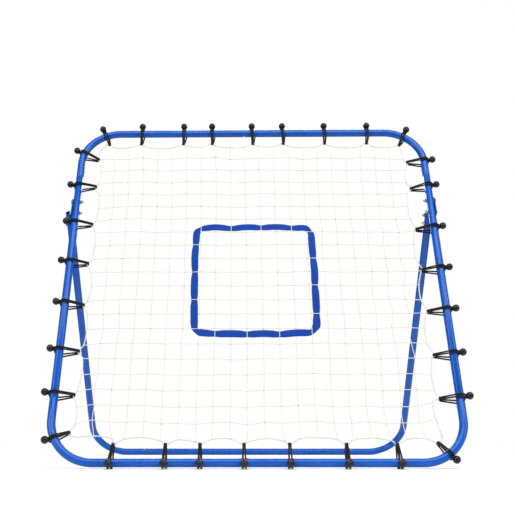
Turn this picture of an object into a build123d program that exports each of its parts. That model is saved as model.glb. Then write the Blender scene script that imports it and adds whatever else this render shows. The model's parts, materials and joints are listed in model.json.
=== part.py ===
from build123d import *
import os
from math import asin, atan2, copysign, cos, degrees, hypot, radians, sin, tan

# A pitch back rebounder: a square tube frame that leans back on a folding tube stand, with a
# knotted net hung inside it on ball bungees. All lengths are in millimetres, +Z is up and the
# thrower stands on the -Y side. The origin is on the ground, at the middle of the object's box.
#
# Frame parts are drawn on the frame's own plane: x across, y up the frame from the bottom
# tube's centreline, z out of the net towards the thrower. Stand parts are drawn on the stand's
# own plane, whose origin is the fold pivot and whose y points up the legs.

# Tube stock
TUBE_R = 12.5
TUBE_WALL = 1.2
SWAGE_R = 11.2  # drawn-down tube end that slides into the next tube
SWAGE_LENGTH = 50.0
SWAGE_COLLAR = 3.0  # where the bore steps down to the swage
BEND_R = 130.0

# Rebound frame
FRAME_SPAN = 1195.0  # centre to centre of opposite tubes, both ways
LEAN_DEG = 20.0
CORNER_LEG = 193.0  # from a bar's centreline to the joint in the upright
SCREW_FROM_JOINT = 28.0

# Stand
STAND_SPREAD = 1000.0  # bottom tube to rear bar, centre to centre along the ground
STAND_FOOT = 225.0  # from a leg's centreline to the joint in the rear bar
LEG_TOP_END = 15.0  # tube above the pivot
LEG_GAP = 0.3  # running gap between a leg and what it swings past

# Hinge plates and their fasteners
PLATE_T = 3.0
PLATE_BOLTS_Y = (855.0, 900.0)
PIVOT_Y = 868.0
PIVOT_Z = -40.0
LOCK_RADIUS = 30.0  # pivot to lock bolt
PLATE_EDGE_R = 11.0
PIVOT_EDGE_R = 14.0
SLOT_WIDTH = 6.5
BOLT_R = 3.0
BOLT_HOLE_R = 3.1
PIVOT_HOLE_R = 3.05
NUT_BORE_R = 3.02
HEX_FLATS = 10.0
HEX_CHAMFER = 0.8
NUT_H = 5.0
HEAD_H = 4.0
THREAD_PROUD = 5.0  # thread that shows past a nut

# Joint screws, driven from the inner side of each tube
SCREW_R = 2.0
SCREW_HOLE_R = 2.05
SCREW_HEAD_R = 3.6
SCREW_HEAD_H = 2.4
SCREW_LENGTH = 9.0

# Net
MESH_COUNT = 21
MESH_PITCH = 50.72
CORD_D = 2.0
EDGE_CORD_D = 4.0
TARGET_SPAN = 385.0
WEBBING_W = 24.0
WEBBING_T = 1.2
WEBBING_GAP = 0.3
WEBBING_CORNER_R = 14.0

# Ball bungees, placed along each side from the frame's centre
BUNGEE_CORD_D = 4.0
BUNGEE_WIDTH = 8.0  # two strands side by side
BUNGEE_GAP = 0.3
BUNGEE_EYE_GAP = 1.0  # between the loop and the net's edge cord inside it
BALL_R = 11.5
BALL_GAP = 0.2
TOP_BUNGEES = (-391, -242, -142, 0, 108, 257, 409)
BOTTOM_BUNGEES = (-418, -263, -163, -37, 93, 256, 403)
LEFT_BUNGEES = (510, 372, 221, 69, -83, -245, -387)
RIGHT_BUNGEES = (472, 366, 197, 39, -110, -260, -400)
# Corner bungees, by how far round the bend they sit, in degrees from the bar towards the upright
CORNER_BUNGEES = {
    ("top", -1): 24,
    ("top", 1): 31,
    ("bottom", -1): 64,
    ("bottom", 1): 36,
}
# How far the balls are swung from straight outwards towards the thrower, in degrees
TOP_SWING = 15.0
SIDE_SWING = 10.0
CORNER_SWING = 30.0
BOTTOM_SWING = 68.0

# Sizes worked out from the above
HALF = FRAME_SPAN / 2
BORE_R = TUBE_R - TUBE_WALL
SWAGE_BORE_R = SWAGE_R - TUBE_WALL
NET_HALF = MESH_COUNT * MESH_PITCH / 2
LOOP_INNER_R = TUBE_R + BUNGEE_GAP
LOOP_OUTER_R = LOOP_INNER_R + BUNGEE_CORD_D
BALL_OUT = LOOP_OUTER_R + BALL_GAP + BALL_R
LEAN = radians(LEAN_DEG)
FRAME_PLANE = Plane(
    origin=(0, 0, LOOP_OUTER_R),  # the frame rests on the cords under its bottom tube
    x_dir=(1, 0, 0),
    z_dir=(0, -cos(LEAN), sin(LEAN)),
)
PIVOT = FRAME_PLANE.from_local_coords(Vector(0, PIVOT_Y, PIVOT_Z))
LEG_REACH = STAND_SPREAD - PIVOT.Y
LEG_DROP = PIVOT.Z - TUBE_R
LEG_LENGTH = hypot(LEG_REACH, LEG_DROP)
FOLD_DEG = degrees(atan2(LEG_REACH, LEG_DROP)) + LEAN_DEG  # brings the legs parallel to the frame
UP_THE_LEG = Vector(0, -LEG_REACH, LEG_DROP).normalized()
STAND_PLANE = Plane(origin=PIVOT, x_dir=(1, 0, 0), z_dir=Vector(1, 0, 0).cross(UP_THE_LEG))
PLATE_INNER_X = HALF + TUBE_R
PLATE_OUTER_X = PLATE_INNER_X + PLATE_T
RIGHT_LEG_X = PLATE_INNER_X - LEG_GAP - TUBE_R  # inside its plate, behind the upright
LEFT_LEG_X = -(PLATE_OUTER_X + LEG_GAP + TUBE_R)  # outside its plate


# ---- tubes ----------------------------------------------------------------------------------


def place(plane, solid):
    return plane.location * solid


def facing(point, direction):
    """A plane at a point whose z axis looks along a direction."""
    return Plane(origin=point, z_dir=direction)


def tube(path):
    return sweep((path ^ 0) * (Circle(TUBE_R) - Circle(BORE_R)), path=path)


def swaged_end(plane):
    """The drawn-down tip that starts at a joint line and runs along the plane's z axis."""
    collar = extrude(Circle(BORE_R) - Circle(SWAGE_BORE_R), -SWAGE_COLLAR)
    tip = extrude(Circle(SWAGE_R) - Circle(SWAGE_BORE_R), SWAGE_LENGTH)
    return place(plane, collar + tip)


def bore(plane, radius, length):
    """The space of a hole drilled both ways along the plane's z axis."""
    return place(plane, Cylinder(radius, 2 * length))


def screw_seats():
    """Where the frame's joint screws enter, each facing into the frame."""
    seats = {}
    for name, bar_y, up in (("bottom", 0, 1), ("top", FRAME_SPAN, -1)):
        seats[name, "bar"] = facing((-SCREW_FROM_JOINT, bar_y + up * TUBE_R, 0), (0, up, 0))
        for side_name, side in (("left", -1), ("right", 1)):
            y = bar_y + up * (CORNER_LEG - SCREW_FROM_JOINT)
            seats[name, side_name] = facing((side * (HALF - TUBE_R), y, 0), (-side, 0, 0))
    return seats


def frame_corner(end, side):
    """A quarter of the frame: half a bar, the bend, and the start of the upright."""
    sign = -1 if side == "left" else 1
    bar_y = 0 if end == "bottom" else FRAME_SPAN
    up = 1 if end == "bottom" else -1
    route = FilletPolyline(
        (sign * HALF, bar_y + up * CORNER_LEG), (sign * HALF, bar_y), (0, bar_y), radius=BEND_R
    )
    corner = tube(route)
    seats = screw_seats()
    corner -= bore(seats[end, side], SCREW_HOLE_R, SCREW_LENGTH)
    if side == "right":
        corner += swaged_end(facing((0, bar_y, 0), (-1, 0, 0)))
    return corner - bore(seats[end, "bar"], SCREW_HOLE_R, SCREW_LENGTH)


def upright(side):
    """A straight side tube, swaged at both ends, with the two holes for its hinge plate."""
    sign = -1 if side == "left" else 1
    x = sign * HALF
    low, high = CORNER_LEG, FRAME_SPAN - CORNER_LEG
    body = place(facing((x, low, 0), (0, 1, 0)), extrude(Circle(TUBE_R) - Circle(BORE_R), high - low))
    body += swaged_end(facing((x, high, 0), (0, 1, 0)))
    body += swaged_end(facing((x, low, 0), (0, -1, 0)))
    seats = screw_seats()
    for end in ("bottom", "top"):
        body -= bore(seats[end, side], SCREW_HOLE_R, SCREW_LENGTH)
    for y in PLATE_BOLTS_Y:
        body -= bore(facing((x, y, 0), (1, 0, 0)), BOLT_HOLE_R, 2 * TUBE_R)
    return body


def foot_seats():
    """Where the stand's joint screws enter, on the upper side of the rear bar."""
    y = TUBE_R - LEG_LENGTH
    left = LEFT_LEG_X + STAND_FOOT - SCREW_FROM_JOINT
    right = RIGHT_LEG_X - STAND_FOOT + SCREW_FROM_JOINT
    return [facing((x, y, 0), (0, 1, 0)) for x in (left, right)]


def stand_leg(x, inward):
    """A leg, its bend and its share of the rear bar, drilled for the pivot and lock bolts."""
    foot_x = x + inward * STAND_FOOT
    route = FilletPolyline((x, LEG_TOP_END), (x, -LEG_LENGTH), (foot_x, -LEG_LENGTH), radius=BEND_R)
    leg = tube(route)
    leg -= bore(facing((x, 0, 0), (1, 0, 0)), PIVOT_HOLE_R, 2 * TUBE_R)
    leg -= bore(facing((x, -LOCK_RADIUS, 0), (1, 0, 0)), BOLT_HOLE_R, 2 * TUBE_R)
    for seat in foot_seats():
        leg -= bore(seat, SCREW_HOLE_R, SCREW_LENGTH)
    return leg


def rear_bar():
    left, right = LEFT_LEG_X + STAND_FOOT, RIGHT_LEG_X - STAND_FOOT
    body = extrude(Circle(TUBE_R) - Circle(BORE_R), right - left)
    body = place(facing((left, -LEG_LENGTH, 0), (1, 0, 0)), body)
    body += swaged_end(facing((left, -LEG_LENGTH, 0), (-1, 0, 0)))
    body += swaged_end(facing((right, -LEG_LENGTH, 0), (1, 0, 0)))
    for seat in foot_seats():
        body -= bore(seat, SCREW_HOLE_R, SCREW_LENGTH)
    return body


# ---- hinge plates and fasteners -------------------------------------------------------------


def hinge_plate(x_start, x_end):
    """A flat plate bolted to an upright, with a pivot hole and a quadrant slot for the lock."""
    lock_path = CenterArc((PIVOT_Y, PIVOT_Z), LOCK_RADIUS, 180, FOLD_DEG)
    rounds = [Pos(y, 0) * Circle(PLATE_EDGE_R) for y in PLATE_BOLTS_Y]
    rounds += [Pos(lock_path @ t) * Circle(PLATE_EDGE_R) for t in (0, 0.5, 1)]
    rounds.append(Pos(PIVOT_Y, PIVOT_Z) * Circle(PIVOT_EDGE_R))
    outline = make_hull([edge for circle in rounds for edge in circle.edges()])
    holes = [Pos(y, 0) * Circle(BOLT_HOLE_R) for y in PLATE_BOLTS_Y]
    holes.append(Pos(PIVOT_Y, PIVOT_Z) * Circle(PIVOT_HOLE_R))
    holes.append(SlotArc(arc=lock_path, height=SLOT_WIDTH))
    for hole in holes:
        outline -= hole
    across = Plane(origin=(x_start, 0, 0), x_dir=(0, 1, 0), z_dir=(1, 0, 0))
    return place(across, extrude(outline, x_end - x_start))


def hexagon(height):
    """A hexagonal prism standing on the ground plane, its upper corners chamfered."""
    corner_r = HEX_FLATS / 2 / cos(radians(30))
    round_bar = Pos(0, 0, height / 2) * Cylinder(corner_r, height)
    round_bar = chamfer(round_bar.edges().sort_by(Axis.Z)[-1], HEX_CHAMFER)
    return extrude(RegularPolygon(corner_r, 6), height) & round_bar


def bolt(head_at, shank_length):
    """A hex bolt whose head stands on the plane, its shank running back behind it."""
    shank = extrude(Circle(BOLT_R), -shank_length)
    return place(head_at, hexagon(HEAD_H) + shank)


def nut(seat):
    return place(seat, hexagon(NUT_H) - Cylinder(NUT_BORE_R, 3 * NUT_H))


def bolt_and_nut(head_x, nut_x, y, z=0.0):
    """A bolt across the object, its head at head_x and its nut seated at nut_x."""
    outward = 1 if head_x > nut_x else -1
    shank = abs(head_x - nut_x) + NUT_H + THREAD_PROUD
    fastener = bolt(facing((head_x, y, z), (outward, 0, 0)), shank)
    return fastener, nut(facing((nut_x, y, z), (-outward, 0, 0)))


def joint_screw(seat):
    """A pan-head self-tapping screw, its head on the tube's skin."""
    head = Pos(0, 0, SCREW_HEAD_H / 2) * Cylinder(SCREW_HEAD_R, SCREW_HEAD_H)
    head = fillet(head.edges().sort_by(Axis.Z)[-1], SCREW_HEAD_H / 2)
    return place(seat, head + extrude(Circle(SCREW_R), -SCREW_LENGTH))


# ---- net ------------------------------------------------------------------------------------


def centred(sketch):
    return Pos(0, HALF) * sketch


def square(side):
    return centred(Rectangle(side, side))


def net_edge_cord():
    outer, inner = 2 * NET_HALF + EDGE_CORD_D, 2 * NET_HALF - EDGE_CORD_D
    return extrude(square(outer) - square(inner), EDGE_CORD_D / 2, both=True)


def net_mesh():
    """The field of square meshes inside the edge cord."""
    length = 2 * NET_HALF - EDGE_CORD_D
    lines = [MESH_PITCH * (i + 1) - NET_HALF for i in range(MESH_COUNT - 1)]
    cords = Sketch() + [centred(Pos(line, 0) * Rectangle(CORD_D, length)) for line in lines]
    cords += [centred(Pos(0, line) * Rectangle(length, CORD_D)) for line in lines]
    return extrude(cords, CORD_D / 2, both=True)


def target_webbing():
    """The square of flat webbing that marks the target, just in front of the mesh."""
    outer = RectangleRounded(TARGET_SPAN + WEBBING_W, TARGET_SPAN + WEBBING_W, WEBBING_CORNER_R)
    inner = Rectangle(TARGET_SPAN - WEBBING_W, TARGET_SPAN - WEBBING_W)
    return Pos(0, HALF, CORD_D / 2 + WEBBING_GAP) * extrude(outer - inner, WEBBING_T)


# ---- ball bungees ---------------------------------------------------------------------------


def bend_point(turn):
    """The tube's centreline at an angle round a bend from the bar's end, as (across, up)."""
    straight = HALF - BEND_R
    return straight + BEND_R * sin(turn), straight + BEND_R * cos(turn)


def side_bungee(inward, along):
    """Tube point and direction for a bungee on an upright, square to the tube if it has bent."""
    past_straight = max(abs(along) - (HALF - BEND_R), 0)
    slope = asin(past_straight / BEND_R)
    inset = BEND_R * (1 - cos(slope))
    return (-inward * (HALF - inset), HALF + along), (inward * cos(slope), -copysign(sin(slope), along))


def bungee_places():
    """Side name to a list of (tube point, unit direction to the net, ball swing)."""
    places = {
        "top": [((x, FRAME_SPAN), (0, -1), TOP_SWING) for x in TOP_BUNGEES],
        "bottom": [((x, 0), (0, 1), BOTTOM_SWING) for x in BOTTOM_BUNGEES],
        "left": [(*side_bungee(1, y), SIDE_SWING) for y in LEFT_BUNGEES],
        "right": [(*side_bungee(-1, y), SIDE_SWING) for y in RIGHT_BUNGEES],
    }
    for (end, side), degrees_round in CORNER_BUNGEES.items():
        turn, up = radians(degrees_round), 1 if end == "top" else -1
        across, height = bend_point(turn)
        point = (side * across, HALF + up * height)
        places[end].append((point, (-side * sin(turn), -up * cos(turn)), CORNER_SWING))
    return places


def reach_to_net(point, to_net):
    """From a tube point to the net's edge cord, and the slant at which the loop meets it."""
    across, height = abs(point[0]), abs(point[1] - HALF)
    if abs(to_net[0]) > abs(to_net[1]):
        return (across - NET_HALF) / abs(to_net[0]), asin(abs(to_net[1]))
    return (height - NET_HALF) / abs(to_net[1]), asin(abs(to_net[0]))


def bungee_loop(point, to_net, _):
    """The doubled cord round the tube and through the net's edge, as one closed band."""
    towards = Vector(*to_net, 0)
    seat = Plane(origin=(*point, 0), x_dir=towards, z_dir=towards.cross(Vector(0, 0, 1)))
    reach, slant = reach_to_net(point, to_net)
    eye_r = EDGE_CORD_D / 2 / cos(slant) + BUNGEE_WIDTH / 2 * tan(slant) + BUNGEE_EYE_GAP
    tube_rounds = (Circle(LOOP_OUTER_R), Circle(LOOP_INNER_R))
    eye_rounds = [Pos(reach, 0) * Circle(radius) for radius in (eye_r + BUNGEE_CORD_D, eye_r)]
    outer, inner = (make_hull([*a.edges(), *b.edges()]) for a, b in zip(tube_rounds, eye_rounds))
    return place(seat, extrude(outer - inner, BUNGEE_WIDTH / 2, both=True))


def bungee_ball(point, to_net, swing):
    """The ball on the outer side of the tube, swung round it towards the thrower."""
    outward, turn = Vector(*to_net, 0) * -1, radians(swing)
    offset = outward * (BALL_OUT * cos(turn)) + Vector(0, 0, BALL_OUT * sin(turn))
    return Pos(Vector(*point, 0) + offset) * Sphere(BALL_R)


# ---- assembly -------------------------------------------------------------------------------


def frame_nodes():
    nodes = {}
    for end in ("top", "bottom"):
        for side in ("left", "right"):
            nodes[f"corner_{end}_{side}"] = [frame_corner(end, side)]
    nodes["upright_left"] = [upright("left")]
    nodes["upright_right"] = [upright("right")]
    nodes["hinge_plate_left"] = [hinge_plate(-PLATE_OUTER_X, -PLATE_INNER_X)]
    nodes["hinge_plate_right"] = [hinge_plate(PLATE_INNER_X, PLATE_OUTER_X)]
    nodes["plate_bolts"], nodes["plate_nuts"] = [], []
    for side in (-1, 1):
        for y in PLATE_BOLTS_Y:
            fastener, its_nut = bolt_and_nut(side * PLATE_OUTER_X, side * (HALF - TUBE_R), y)
            nodes["plate_bolts"].append(fastener)
            nodes["plate_nuts"].append(its_nut)
    leg_outside = LEFT_LEG_X - TUBE_R - LEG_GAP
    leg_inside = RIGHT_LEG_X - TUBE_R - LEG_GAP
    pivots = {
        "left": bolt_and_nut(leg_outside, -PLATE_INNER_X, PIVOT_Y, PIVOT_Z),
        "right": bolt_and_nut(PLATE_OUTER_X, leg_inside, PIVOT_Y, PIVOT_Z),
    }
    for side, (fastener, its_nut) in pivots.items():
        nodes[f"pivot_bolt_{side}"] = [fastener]
        nodes[f"pivot_nut_{side}"] = [its_nut]
    nodes["frame_joint_screws"] = [joint_screw(seat) for seat in screw_seats().values()]
    nodes["net_edge_cord"] = [net_edge_cord()]
    nodes["net_mesh"] = [net_mesh()]
    nodes["target_webbing"] = [target_webbing()]
    for side, places in bungee_places().items():
        nodes[f"bungee_loops_{side}"] = [bungee_loop(*each) for each in places]
        nodes[f"bungee_balls_{side}"] = [bungee_ball(*each) for each in places]
    return nodes


def stand_nodes():
    nodes = {
        "leg_left": [stand_leg(LEFT_LEG_X, 1)],
        "leg_right": [stand_leg(RIGHT_LEG_X, -1)],
        "rear_bar": [rear_bar()],
        "stand_joint_screws": [joint_screw(seat) for seat in foot_seats()],
    }
    locks = {
        "left": bolt_and_nut(LEFT_LEG_X - TUBE_R, -PLATE_INNER_X + LEG_GAP, -LOCK_RADIUS),
        "right": bolt_and_nut(PLATE_OUTER_X + LEG_GAP, RIGHT_LEG_X - TUBE_R, -LOCK_RADIUS),
    }
    for side, (fastener, its_nut) in locks.items():
        nodes[f"lock_bolt_{side}"] = [fastener]
        nodes[f"lock_nut_{side}"] = [its_nut]
    return nodes


def assembly():
    """Every node's solids, standing on the ground with the box's middle over the origin."""
    nodes = {}
    for plane, group in ((FRAME_PLANE, frame_nodes()), (STAND_PLANE, stand_nodes())):
        for name, solids in group.items():
            whole = [solid for shape in solids for solid in place(plane, shape).solids()]
            nodes[name] = Compound(children=whole, label=name)
    box = Compound(children=[Compound(node.solids()) for node in nodes.values()]).bounding_box()
    middle = Pos(-box.center().X, -box.center().Y, 0)
    print("box", box.size, "lowest", round(box.min.Z, 4))
    print("pivot", middle * Pos(PIVOT), "fold angle", round(FOLD_DEG, 3))
    return {name: middle * node for name, node in nodes.items()}


os.makedirs("parts", exist_ok=True)
for node_name, node in assembly().items():
    export_step(node, f"parts/{node_name}.step")
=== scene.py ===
import json
from math import cos, pi, radians, sin, tan

import bmesh
import bpy
import numpy as np
from mathutils import Matrix, Vector
from mathutils.geometry import convex_hull_2d


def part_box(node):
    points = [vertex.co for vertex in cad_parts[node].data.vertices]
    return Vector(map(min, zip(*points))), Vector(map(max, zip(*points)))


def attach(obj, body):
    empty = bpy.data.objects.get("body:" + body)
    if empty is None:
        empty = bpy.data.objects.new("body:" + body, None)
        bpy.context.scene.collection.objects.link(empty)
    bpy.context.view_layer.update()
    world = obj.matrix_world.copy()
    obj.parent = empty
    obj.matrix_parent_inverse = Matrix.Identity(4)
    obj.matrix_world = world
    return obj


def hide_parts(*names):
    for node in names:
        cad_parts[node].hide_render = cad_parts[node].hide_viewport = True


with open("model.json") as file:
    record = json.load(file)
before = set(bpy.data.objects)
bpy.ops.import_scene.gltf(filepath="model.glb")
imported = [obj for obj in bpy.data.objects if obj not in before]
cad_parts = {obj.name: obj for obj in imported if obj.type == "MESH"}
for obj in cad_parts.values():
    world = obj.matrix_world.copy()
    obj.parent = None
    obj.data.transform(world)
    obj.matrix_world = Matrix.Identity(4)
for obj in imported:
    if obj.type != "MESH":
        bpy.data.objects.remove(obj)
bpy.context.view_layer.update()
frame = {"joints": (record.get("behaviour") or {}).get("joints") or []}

# A pitch back rebounder: a blue tube frame that leans back on a folding tube stand, with a knotted
# white net hung in it on black ball bungees and a square of blue webbing woven into the net.
# Lengths are in metres. Frame pieces are laid out on the frame's own plane: across and up from
# the frame's centre, and out of the net towards the thrower.

# ---- sizes, as the CAD parts have them

TUBE_R = 0.0125
TUBE_WALL = 0.0012
SWAGE_R = 0.0112
SWAGE_LENGTH, SWAGE_ROOT = 0.05, 0.003  # past the tube's end, and back inside it
BEND_R = 0.13
HALF = 0.5975  # frame centre to each tube's centreline
LEAN = radians(20)
CORNER_LEG = 0.193
SCREW_FROM_JOINT = 0.028
STAND_SPREAD = 1.0
STAND_FOOT = 0.225
LEG_TOP_END = 0.015
LEG_GAP = 0.0003
PLATE_T = 0.003
PLATE_BOLTS_Y = (0.855, 0.900)
PIVOT_Y, PIVOT_Z = 0.868, -0.040
LOCK_RADIUS = 0.030
PLATE_EDGE_R, PIVOT_EDGE_R = 0.011, 0.014
SLOT_R = 0.00325
BOLT_R = 0.003
HEX_FLATS = 0.010
HEAD_H, NUT_H, THREAD_PROUD = 0.004, 0.005, 0.005
THREAD_LENGTH, THREAD_PITCH, THREAD_DEPTH = 0.016, 0.001, 0.0005
SCREW_R, SCREW_HEAD_R, SCREW_HEAD_H, SCREW_LENGTH = 0.002, 0.0036, 0.0024, 0.009
LOOP_OUTER_R = 0.0168
BALL_R, BALL_OUT = 0.0115, 0.0285

MESHES = 21
MESH_PITCH = 0.05072
NET_HALF = MESHES * MESH_PITCH / 2
NET_SAG = 0.006
CORD_D, CORD_UNEVENNESS = 0.0025, 0.00025
EDGE_CORD_D = 0.004
TARGET_HALF = 0.1925
WEBBING_W, WEBBING_T, WEAVE_DEPTH = 0.024, 0.0012, 0.0023
BUNGEE_D = 0.0052

# Ball bungees: (where it crosses its tube, where it holds the net), each along its own side
TOP_BUNGEES = [(-0.391, -0.392), (-0.242, -0.243), (-0.142, -0.141), (0, 0.002), (0.108, 0.110),
               (0.257, 0.256), (0.409, 0.404)]
BOTTOM_BUNGEES = [(-0.418, -0.412), (-0.263, -0.262), (-0.163, -0.163), (-0.037, -0.037),
                  (0.093, 0.093), (0.256, 0.255), (0.403, 0.399)]
LEFT_BUNGEES = [(0.510, 0.484), (0.372, 0.366), (0.221, 0.211), (0.069, 0.059), (-0.083, -0.093),
                (-0.245, -0.252), (-0.387, -0.393)]
RIGHT_BUNGEES = [(0.472, 0.465), (0.366, 0.352), (0.197, 0.187), (0.039, 0.031), (-0.110, -0.118),
                 (-0.260, -0.267), (-0.400, -0.406)]
# Corner bungees: degrees round the bend from the bar, and the point they hold on the net
CORNER_BUNGEES = {
    ("top", -1): (24, (-0.507, 0.552)),
    ("top", 1): (31, (0.520, 0.544)),
    ("bottom", -1): (64, (-0.544, -0.510)),
    ("bottom", 1): (36, (0.517, -0.542)),
}
TOP_REACH, BOTTOM_REACH, SIDE_REACH = 0.0435, 0.0515, 0.056  # tube centreline to the net's edge
SWINGS = {"top": 15, "left": 10, "right": 10, "bottom": 68, "corner": 30}

# ---- the frame's plane and the stand's plane

LEFT_SIDE, RIGHT_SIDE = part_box("corner_top_left")[0].x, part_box("corner_top_right")[1].x
ACROSS = np.array((1.0, 0.0, 0.0))
UP = np.array((0.0, sin(LEAN), cos(LEAN)))
OUT = np.array((0.0, -cos(LEAN), sin(LEAN)))
BASE = np.array((
    (LEFT_SIDE + RIGHT_SIDE) / 2,
    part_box("corner_bottom_left")[0].y + TUBE_R,
    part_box("bungee_loops_bottom")[0].z + LOOP_OUTER_R,
))
CENTRE = BASE + HALF * UP
PIVOT = np.array(frame["joints"][0]["pos_m"])
REAR_BAR = np.array((BASE[0], BASE[1] + STAND_SPREAD, TUBE_R))
LEG_LENGTH = float(np.linalg.norm(REAR_BAR - PIVOT))
DOWN_THE_LEG = (REAR_BAR - PIVOT) / LEG_LENGTH
PLATE_INNER_X = HALF + TUBE_R
PLATE_OUTER_X = PLATE_INNER_X + PLATE_T
RIGHT_LEG_X = PLATE_INNER_X - LEG_GAP - TUBE_R
LEFT_LEG_X = -(PLATE_OUTER_X + LEG_GAP + TUBE_R)


def on_frame(points):
    """Points given as (across, up, out) from the frame's centre, in the row's frame."""
    points = np.asarray(points, float)
    if points.shape[-1] == 2:
        points = np.concatenate([points, np.zeros((*points.shape[:-1], 1))], -1)
    return CENTRE + points @ np.stack([ACROSS, UP, OUT])


def on_stand(points):
    """Points given as (across, up the legs from the pivot), in the row's frame."""
    points = np.asarray(points, float)
    return PIVOT + points[..., :1] * ACROSS - points[..., 1:2] * DOWN_THE_LEG


def turned_to(origin, z_axis, x_hint=(1, 0, 0)):
    """The transform that puts local z along an axis."""
    z = Vector(z_axis).normalized()
    x = (Vector(x_hint) - Vector(x_hint).dot(z) * z).normalized()
    return Matrix.Translation(Vector(origin)) @ Matrix((x, z.cross(x), z)).transposed().to_4x4()


# ---- nodes


def srgb(code):
    """The linear colour of an sRGB hex code."""
    channels = [int(code[i:i + 2], 16) / 255 for i in (0, 2, 4)]
    return (*[c / 12.92 if c <= 0.04045 else ((c + 0.055) / 1.055) ** 2.4 for c in channels], 1.0)


def add(tree, kind, inputs=None, **settings):
    """A node with its settings, and each input set to a value or linked from a socket."""
    node = tree.nodes.new(kind)
    for name, value in settings.items():
        setattr(node, name, value)
    for key, value in (inputs or {}).items():
        if isinstance(value, bpy.types.NodeSocket):
            tree.links.new(value, node.inputs[key])
        else:
            node.inputs[key].default_value = value
    return node


def maths(tree, operation, *values):
    return add(tree, "ShaderNodeMath", dict(enumerate(values)), operation=operation).outputs[0]


def mapped(tree, value, *limits):
    """Carries a value from one range (low, high) to another (low, high)."""
    return add(tree, "ShaderNodeMapRange", dict(enumerate((value, *limits)))).outputs[0]


def object_place(tree):
    return add(tree, "ShaderNodeTexCoord").outputs["Object"]


def run_and_turn(tree):
    """How far along a cord or strap, and how far round or across it, as its UVs have it."""
    uv = add(tree, "ShaderNodeTexCoord").outputs["UV"]
    return add(tree, "ShaderNodeSeparateXYZ", {0: uv}).outputs


def ramp(tree, factor, stops):
    """Blends between (position, colour) stops."""
    node = add(tree, "ShaderNodeValToRGB", {0: factor})
    while len(node.color_ramp.elements) < len(stops):
        node.color_ramp.elements.new(0.5)
    for element, (position, colour) in zip(node.color_ramp.elements, stops):
        element.position, element.color = position, colour
    return node.outputs[0]


def noise(tree, vector, size, detail=3.0):
    """A noise whose features are about size across, in metres."""
    inputs = {"Vector": vector, "Scale": 1 / size, "Detail": detail}
    return add(tree, "ShaderNodeTexNoise", inputs).outputs[0]


def finish_material(name, build, **shader):
    """A principled material whose build function returns (colour, roughness, height, depth)."""
    made = bpy.data.materials.new(name)
    made.use_nodes = True
    tree = made.node_tree
    principled = tree.nodes["Principled BSDF"]
    for socket, value in shader.items():
        principled.inputs[socket.replace("_", " ")].default_value = value
    colour, roughness, height, depth = build(tree)
    tree.links.new(colour, principled.inputs["Base Color"])
    tree.links.new(roughness, principled.inputs["Roughness"])
    bump = add(tree, "ShaderNodeBump", {"Height": height, "Distance": depth, "Strength": 1.0})
    tree.links.new(bump.outputs[0], principled.inputs["Normal"])
    return made


def coated(light, dark):
    """Powder coat: orange peel in the gloss and slow changes of tone."""
    def build(tree):
        place = object_place(tree)
        tone = noise(tree, place, 0.09)
        peel = noise(tree, place, 0.003, 0.0)
        rub = noise(tree, place, 0.022)
        colour = ramp(tree, tone, [(0.35, srgb(dark)), (0.65, srgb(light))])
        return colour, mapped(tree, rub, 0.35, 0.75, 0.25, 0.32), peel, 0.000004
    return build


def plated(light, dark):
    """Zinc plate: bright and a little cloudy, with a fine grain."""
    def build(tree):
        place = object_place(tree)
        cloud = noise(tree, place, 0.004)
        colour = ramp(tree, cloud, [(0.35, srgb(dark)), (0.65, srgb(light))])
        roughness = mapped(tree, cloud, 0.3, 0.7, 0.26, 0.42)
        return colour, roughness, noise(tree, place, 0.0006), 0.00001
    return build


def moulded(light, dark):
    """Moulded plastic: dull gloss with small handling scuffs."""
    def build(tree):
        place = object_place(tree)
        scuff = noise(tree, place, 0.005, 6.0)
        colour = ramp(tree, scuff, [(0.45, srgb(dark)), (0.75, srgb(light))])
        roughness = mapped(tree, scuff, 0.4, 0.7, 0.28, 0.5)
        return colour, roughness, noise(tree, place, 0.0012), 0.00004
    return build


def crossing_yarns(tree, first, second):
    """Height of a weave from two yarn counts, and which of the two lies on top."""
    parity = add(tree, "ShaderNodeCombineXYZ", {0: first, 1: second}).outputs[0]
    top = add(tree, "ShaderNodeTexChecker", {"Vector": parity, "Scale": 1.0}).outputs["Fac"]
    rounds = [maths(tree, "ABSOLUTE", maths(tree, "SINE", maths(tree, "MULTIPLY", count, pi)))
              for count in (first, second)]
    return add(tree, "ShaderNodeMix", {0: top, 2: rounds[0], 3: rounds[1]}).outputs[0], top


def braided(light, dark, yarns, lay, size, depth):
    """A braided sheath: yarns that wind both ways round the cord, over and under each other."""
    above_zero = 1000.0  # keeps the count of the left-hand yarns positive all along a cord

    def build(tree):
        run, turn = run_and_turn(tree)[:2]
        wound = maths(tree, "MULTIPLY", turn, yarns)
        run = maths(tree, "MULTIPLY", run, yarns / lay)
        right = maths(tree, "ADD", run, wound)
        left = maths(tree, "ADD", maths(tree, "SUBTRACT", run, wound), above_zero)
        height, _ = crossing_yarns(tree, right, left)
        place = object_place(tree)
        grime = noise(tree, place, size)
        # painted shade: the colour darkens in the hollows between the yarns, with random grime mixed in
        mixed = maths(tree, "MULTIPLY_ADD", height, 0.6, maths(tree, "MULTIPLY", grime, 0.4))
        colour = ramp(tree, mixed, [(0.2, srgb(dark)), (0.75, srgb(light))])
        return colour, mapped(tree, height, 0.0, 1.0, 0.9, 0.62), height, depth
    return build


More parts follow.
